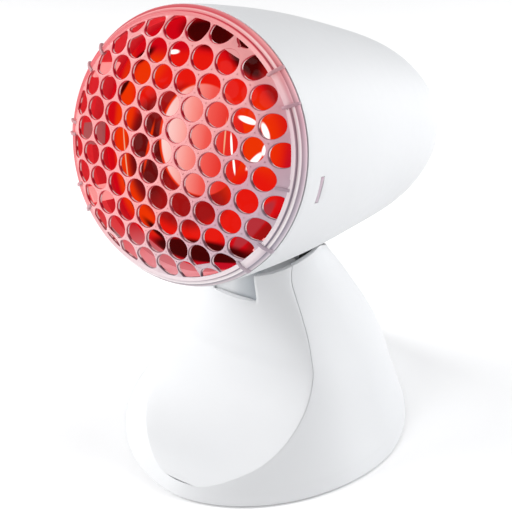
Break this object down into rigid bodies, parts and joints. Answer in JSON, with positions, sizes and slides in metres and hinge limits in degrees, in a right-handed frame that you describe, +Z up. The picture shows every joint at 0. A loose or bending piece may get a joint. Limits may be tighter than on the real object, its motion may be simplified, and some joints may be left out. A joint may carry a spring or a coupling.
{
  "type": "infrared heat therapy lamp",
  "caption": "Table-top infrared heat lamp: a bullet-shaped white head with a clear honeycomb guard over a red reflector bulb tilts on a flared stand.",
  "frame": {"origin": "on the table, under the middle of the lamp's overall length and width", "axes": "+Z up, the guard and the red bulb face -Y and tilt up a little, +X is the lamp's left as it faces you"},
  "size_m": [0.1284, 0.2008, 0.2004],
  "materials": {
    "white_plastic": "glossy white",
    "clear_guard": "clear moulded plastic, tinted by the red bulb behind it",
    "red_glass": "red filter glass, glossy",
    "silvered_glass": "glass silvered on its inside",
    "clear_glass": "clear",
    "tungsten": "bare wire",
    "nickel": "nickel plated",
    "brass": "plain",
    "ceramic": "glazed white ceramic",
    "black_glass": "black cap glass",
    "steel": "zinc plated",
    "rubber": "matt",
    "grey_plastic": "satin grey"
  },
  "bodies": {
    "head": {"head_shell": "white_plastic", "front_guard": "clear_guard", "bulb_face": "red_glass", "bulb_reflector": "silvered_glass", "bulb_stem": "clear_glass", "filament_post_left": "nickel", "filament_post_right": "nickel", "filament": "tungsten", "bulb_cap": "nickel", "bulb_cap_insulator": "black_glass", "bulb_tip_contact": "brass", "socket_body": "ceramic", "socket_sleeve": "brass", "socket_contact": "brass", "socket_bracket": "steel", "bracket_screw_left": "steel", "bracket_screw_right": "steel", "arm_screw_front": "steel", "arm_screw_rear": "steel", "tilt_arm": "grey_plastic"},
    "stand": {"tilt_bracket": "steel", "tilt_axle": "steel", "axle_clip": "steel", "click_spring": "steel", "tilt_bracket_screw_left": "steel", "tilt_bracket_screw_right": "steel", "stand_shell": "white_plastic", "front_panel": "white_plastic", "stand_plate": "grey_plastic", "foot_front_left": "rubber", "stand_screw_front_left": "steel", "foot_front_right": "rubber", "stand_screw_front_right": "steel", "foot_rear_right": "rubber", "stand_screw_rear_right": "steel", "foot_rear_left": "rubber", "stand_screw_rear_left": "steel", "cord_inlet": "rubber", "terminal_block": "ceramic"}
  },
  "joints": [
    {"name": "head_tilt", "type": "hinge", "parent": "stand", "child": "head", "pos_m": [0, -0.02659, 0.072], "axis": [1, 0, 0], "range_deg": [-10, 10]}
  ]
}
